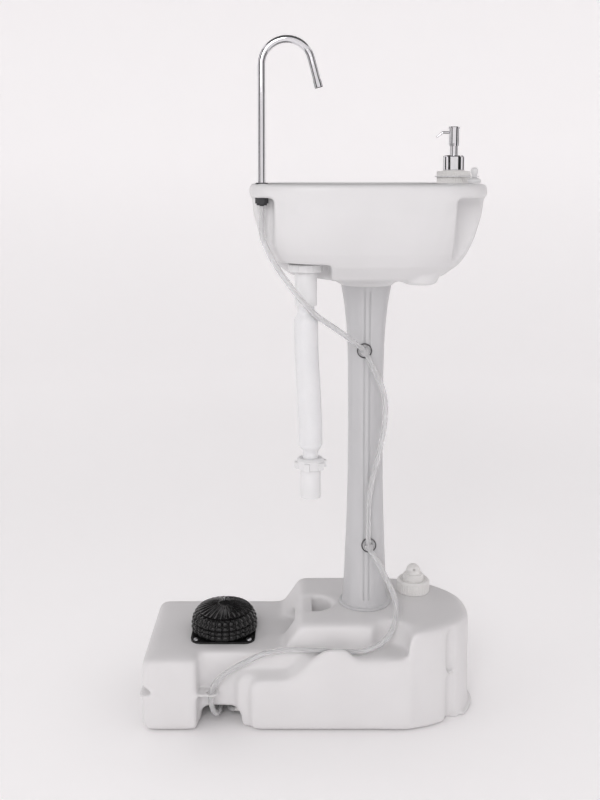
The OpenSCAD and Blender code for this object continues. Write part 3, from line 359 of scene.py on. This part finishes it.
def waste_radius(z):
    """The waste hose's radius at a height: full along the middle and narrower at both ends. Millimetres."""
    upper = min(1.0, max(0.0, (619 - z) / 12))
    lower = min(1.0, max(0.0, (z - 413) / 11))
    if z > 500:
        radius = 12.5 + 5.0 * upper * upper * (3 - 2 * upper)
    else:
        radius = 11.5 + 6.0 * lower * lower * (3 - 2 * lower)
    return radius - 0.25 * math.exp(-((z - 612) / 1.6) ** 2)


waste_radii = [waste_radius(p.z * 1000) * MM for p in waste_line]
waste_hose = hollow_tube("waste_hose_tube", waste_line, waste_radii, [r - WASTE_WALL for r in waste_radii],
                         HOSE_WHITE, 40)
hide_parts("waste_hose")


# ---------- tank ----------

def blown(name, source, voxel, rounds, keep, material, body="root"):
    """A blow-moulded skin: the solid's form with its edges softened as a parison leaves them.
    keep(points) gives each point's share of the softening, so that thin webs and fitted rims stay crisp."""
    mesh = source.copy()
    obj = bpy.data.objects.new(name, mesh)
    scene.collection.objects.link(obj)
    remesh = obj.modifiers.new("voxel", "REMESH")
    remesh.mode = "VOXEL"
    remesh.voxel_size = voxel
    remesh.adaptivity = 0.0
    graph = bpy.context.evaluated_depsgraph_get()
    made = bpy.data.meshes.new_from_object(obj.evaluated_get(graph))
    obj.modifiers.clear()
    obj.data = made
    count = len(made.vertices)
    points = np.zeros(count * 3)
    made.vertices.foreach_get("co", points)
    points = points.reshape(-1, 3)
    rest = points.copy()
    edges = np.zeros(len(made.edges) * 2, np.int64)
    made.edges.foreach_get("vertices", edges)
    edges = edges.reshape(-1, 2)
    degree = np.bincount(edges.ravel(), minlength=count).astype(float)[:, None]
    share = keep(points)[:, None]
    for _ in range(rounds):
        total = np.zeros_like(points)
        for axis in range(3):
            total[:, axis] = (np.bincount(edges[:, 0], points[edges[:, 1], axis], count)
                              + np.bincount(edges[:, 1], points[edges[:, 0], axis], count))
        points += 0.5 * share * (total / np.maximum(degree, 1) - points)
    # never outside the solid's own box
    points = np.clip(points, rest.min(0), rest.max(0))
    made.vertices.foreach_set("co", points.astype(np.float32).ravel())
    made.update()
    paint(obj, material)
    made.shade_smooth()
    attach(obj, body)
    return obj


def near(points, low, high, reach):
    """1 inside a box in millimetres, falling to 0 at a reach outside it."""
    low, high = np.array(low) * MM, np.array(high) * MM
    gap = np.maximum(np.maximum(low - points, points - high), 0.0)
    return np.clip(1.0 - np.linalg.norm(gap, axis=1) / (reach * MM), 0.0, 1.0)


def tank_share(points):
    crisp = np.zeros(len(points))
    for low, high, reach in (
            ((-341, -117, 52.5), (-299, -86, 59.5), 2.5),     # web across the corner notch
            ((-256, -114, 52.5), (-219, -86, 59.5), 2.5),     # web with the eye, in the recess
            ((118, -94, 72), (142, -70, 79), 2.5),            # web across the groove
            ((116, -70, 0), (170, 104, 7.5), 1.5),            # lip at the foot of the right end
            ((-42, -42, 149), (42, 42, 168), 2.0),            # spigot under the pedestal
            ((56, 14, 149), (106, 64, 168), 2.0)):            # filling neck
        crisp = np.maximum(crisp, near(points, low, high, reach))
    grip = near(points, (-142, -32, 100), (-58, 22, 160), 8.0)
    return 1.0 - np.maximum(crisp, 0.7 * grip)


TANK_VOXEL, TANK_ROUNDS = 0.0022, 45
tank = blown("tank_skin", nodes["tank_shell"].data, TANK_VOXEL, TANK_ROUNDS, tank_share, WHITE)
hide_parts("tank_shell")


# ---------- basin ----------

def basin_share(points):
    crisp = np.zeros(len(points))
    for low, high, reach in (
            ((-167, -130, 780), (-143, -106, 807), 3.0),      # bore for the tap's bush
            ((118, 20, 735), (158, 60, 807), 3.0),            # bore for the soap bottle
            ((-117, -104, 688), (-69, -56, 701), 4.0),        # seat of the drain
            ((-40, -40, 650), (40, 40, 676), 3.0)):           # socket on the pedestal's spigot
        crisp = np.maximum(crisp, near(points, low, high, reach))
    return 1.0 - crisp


# Finer than the tank's, because the bowl comes within 2.6 mm of a niche or the drain's pocket.
# Beside the foot of the soap bottle's bore the CAD's wall is only about 0.6 mm, and the skin has a hole there.
BASIN_VOXEL, BASIN_ROUNDS = 0.0015, 34
basin = blown("basin_skin", nodes["basin"].data, BASIN_VOXEL, BASIN_ROUNDS, basin_share, BASIN_WHITE)
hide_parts("basin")


# ---------- foot pump ----------

PUMP = (-219, -15)
FLUTES = 28
SIDES = FLUTES * 10


def fluted(angle, radius, z):
    """The bellows' radius, drawn in between upright flutes."""
    if radius < 30 or z > 144.7:
        return radius
    wave = abs(math.sin(FLUTES / 2 * angle)) ** 0.55
    return radius - 2.4 * min(1.0, max(0.0, (z - 114.4) / 3)) * (1.0 - wave)


# three rolled tiers, and a shoulder under the tread
BELLOWS_LINE = [
    (0, 114.6), (45.5, 114.3), (48.6, 114.8), (50.6, 116.2), (51.3, 118.4), (51.1, 120.4), (50.0, 121.8),
    (49.4, 122.4), (50.1, 123.2), (51.1, 124.8), (51.1, 127.0), (50.0, 128.7), (48.7, 129.3), (48.9, 130.2),
    (50.0, 131.8), (49.9, 134.0), (48.8, 135.8), (46.9, 136.9), (46.4, 137.7), (46.9, 139.0), (46.3, 141.0),
    (44.8, 142.8), (43.0, 144.0), (41.4, 144.6), (39.0, 144.8), (0, 144.8)]
bellows = lathe("bellows_skin", PUMP, BELLOWS_LINE, BLACK_RUBBER, sides=SIDES,
                modulate=fluted)
bellows.data.shade_smooth()
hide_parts("pump_bellows")
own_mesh(bellows)


TREAD_R, TREAD_FOOT_R, TREAD_FOOT_Z = 41.0, 40.6, 145.15


def tread_mesh():
    """The domed tread, finely ribbed from its rim to a plain hub."""
    turns = [2 * math.pi * k / SIDES for k in range(SIDES)]
    rings = [[((PUMP[0] + TREAD_FOOT_R * math.cos(a)) * MM, (PUMP[1] + TREAD_FOOT_R * math.sin(a)) * MM,
               TREAD_FOOT_Z * MM) for a in turns]]
    steps = 26
    for i in range(steps):
        r = TREAD_R * (1 - i / steps)
        dome = 146.5 + 7.4 * (1 - (r / TREAD_R) ** 2.6)
        band = min(1.0, max(0.0, (r - 9) / 5)) * min(1.0, max(0.0, (TREAD_FOOT_R - r) / 2))
        ring = []
        for a in turns:
            dip = 1.3 * band * (1 - (0.5 + 0.5 * math.cos(FLUTES * a)) ** 0.7)
            ring.append(((PUMP[0] + r * math.cos(a)) * MM, (PUMP[1] + r * math.sin(a)) * MM,
                         (dome - dip) * MM))
        rings.append(ring)
    points, faces = loft(rings)
    return mesh_object("tread_skin", points, faces, BLACK_RUBBER, "pump_tread")


tread = tread_mesh()
tread.data.shade_smooth()
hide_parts("pump_tread")


# ---------- springs ----------

def coil(name, at, z0, z1, radius, wire, turns, steps, node):
    """A coil spring of round wire, wound evenly from one height to another."""
    line = []
    for i in range(turns * steps + 1):
        a = 2 * math.pi * i / steps
        line.append(Vector((at[0] + radius * math.cos(a), at[1] + radius * math.sin(a),
                            z0 + wire + (z1 - z0 - 2 * wire) * i / (turns * steps))) * MM)
    points, faces = loft(rings_along(line, [wire * MM] * len(line), 10))
    obj = mesh_object(name, points, faces, STEEL)
    obj.data.shade_smooth()
    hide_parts(node)
    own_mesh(obj)


coil("pump_spring_coil", PUMP, 67.2, 144.5, 20.0, 1.5, 5, 40, "pump_spring")
coil("soap_spring_coil", (138, 40), 808.7, 832.3, 4.6, 0.5, 6, 24, "soap_spring")


# ---------- rims of the hose clips ----------

CLIP_RIM_R, CLIP_ROLL_R, CLIP_ROUND, CLIP_SIDES = 10.6, 0.85, 64, 12


def clip_rim(name, at):
    """The rolled rim round a clip's suction cup."""
    rings = []
    for a in (2 * math.pi * k / CLIP_ROUND for k in range(CLIP_ROUND)):
        ring = []
        for b in (2 * math.pi * k / CLIP_SIDES for k in range(CLIP_SIDES)):
            reach = CLIP_RIM_R + CLIP_ROLL_R * math.cos(b)
            ring.append(((at[0] + reach * math.cos(a)) * MM, (at[1] + CLIP_ROLL_R * math.sin(b)) * MM,
                         (at[2] + reach * math.sin(a)) * MM))
        rings.append(ring)
    points, faces = loft(rings + [rings[0]], closed_ends=False)
    count = CLIP_SIDES * CLIP_ROUND
    faces = [tuple(i % count for i in f) for f in faces]
    obj = mesh_object(name, points[:count], faces, SMOKED_RIM)
    obj.data.shade_smooth()


clip_rim("upper_clip_rim", (-4, -29.4, 553))
clip_rim("lower_clip_rim", (4, -31.6, 252))


# ---------- stage and light ----------

def area_light(name, at, target, size, power):
    data = bpy.data.lights.new(name, "AREA")
    data.shape = "RECTANGLE"
    data.size, data.size_y = size
    data.energy = power
    lamp = bpy.data.objects.new(name, data)
    lamp.location = at
    lamp.rotation_euler = (Vector(target) - Vector(at)).to_track_quat("-Z", "Y").to_euler()
    scene.collection.objects.link(lamp)


FLOOR_R, COVE_R = 2.5, 0.9


def studio_cove(material):
    """A plain pale floor that turns up into a round wall, the same from every side."""
    line = [(0.25 * k, 0.0) for k in range(1, 11)]
    turn_up = [math.radians(9 * k) for k in range(1, 11)]
    line += [(FLOOR_R + COVE_R * math.sin(a), COVE_R * (1 - math.cos(a))) for a in turn_up]
    line += [(FLOOR_R + COVE_R, COVE_R + 0.5 * k) for k in range(1, 8)]
    turns = [2 * math.pi * k / 96 for k in range(96)]
    rings = [[(r * math.cos(a), r * math.sin(a), z) for a in turns] for r, z in line]
    points, faces = loft(rings)
    faces = [f for f in faces if len(f) == 4 or max(f) == len(points) - 2]
    mesh = bpy.data.meshes.new("floor")
    mesh.from_pydata(points, [], faces)
    mesh.shade_smooth()
    obj = bpy.data.objects.new("floor", mesh)
    obj.data.materials.append(material)
    scene.collection.objects.link(obj)


def backdrop_paper():
    """Pale paper that is lit by itself a little, more on the wall than on the floor, with painted shadow where
    the stand covers it.
    """
    material = moulded("floor_paper", (0.84, 0.825, 0.83), roughness=0.85, grain=300.0, ripple=1.5,
                       spread=0.01)
    tree = material.node_tree
    shader = tree.nodes["Principled BSDF"]
    where = tree.nodes.new("ShaderNodeTexCoord")
    parts = tree.nodes.new("ShaderNodeSeparateXYZ")
    tree.links.new(where.outputs["Object"], parts.inputs["Vector"])
    glow = tree.nodes.new("ShaderNodeMapRange")
    glow.inputs["From Max"].default_value = 1.6
    glow.inputs["To Min"].default_value = 0.30
    glow.inputs["To Max"].default_value = 0.31
    tree.links.new(parts.outputs["Z"], glow.inputs["Value"])
    # painted shadow: the paper's own glow is multiplied by ambient occlusion, so it darkens where the stand
    # covers it
    painted_shadow_ao = tree.nodes.new("ShaderNodeAmbientOcclusion")
    painted_shadow_ao.samples = 8
    painted_shadow_ao.inputs["Distance"].default_value = 0.45
    shade = tree.nodes.new("ShaderNodeMath")
    shade.operation = "MULTIPLY"
    tree.links.new(glow.outputs["Result"], shade.inputs[0])
    tree.links.new(painted_shadow_ao.outputs["AO"], shade.inputs[1])
    tree.links.new(shade.outputs["Value"], shader.inputs["Emission Strength"])
    shader.inputs["Emission Color"].default_value = (1.0, 0.985, 0.99, 1.0)
    shader.inputs["Specular IOR Level"].default_value = 0.1
    return material


def reflected_card(name, at, width, height, turn):
    """A dark card beside the stand, seen only in reflections."""
    points = [(x, 0, z) for x, z in ((-width / 2, -height / 2), (width / 2, -height / 2),
                                     (width / 2, height / 2), (-width / 2, height / 2))]
    mesh = bpy.data.meshes.new(name)
    mesh.from_pydata(points, [], [(0, 1, 2, 3)])
    obj = bpy.data.objects.new(name, mesh)
    obj.location, obj.rotation_euler = at, (0.0, 0.0, math.radians(turn))
    obj.data.materials.append(CARD)
    obj.visible_camera = obj.visible_diffuse = obj.visible_shadow = obj.visible_transmission = False
    scene.collection.objects.link(obj)


studio_cove(backdrop_paper())
CARD = moulded("card_black", (0.02, 0.02, 0.022), roughness=0.9)
CARD_REACH, CARD_MIDDLE, CARD_HEIGHT = 1.9, 1.15, 2.3
# each card's bearing in degrees and its width
for number, (turn, width) in enumerate(((20, 0.7), (90, 1.1), (160, 0.7), (212, 1.0), (328, 1.2))):
    a = math.radians(turn)
    at = (CARD_REACH * math.cos(a), CARD_REACH * math.sin(a), CARD_MIDDLE)
    reflected_card("card_%d" % number, at, width, CARD_HEIGHT, turn + 90)

world = bpy.data.worlds.new("studio")
scene.world = world
world.use_nodes = True
background = world.node_tree.nodes["Background"]
background.inputs["Color"].default_value = (0.98, 0.97, 0.975, 1.0)
background.inputs["Strength"].default_value = 0.10

area_light("front_soft", (-0.6, -2.3, 1.7), (-0.08, 0.0, 0.4), (0.8, 1.2), 14.0)
area_light("left_soft", (-2.0, -0.8, 1.2), (0.0, 0.0, 0.4), (0.6, 1.6), 2.0)

scene.view_settings.view_transform = "Standard"
scene.view_settings.look = "None"
scene.view_settings.exposure = 0.0
scene.view_settings.gamma = 1.0
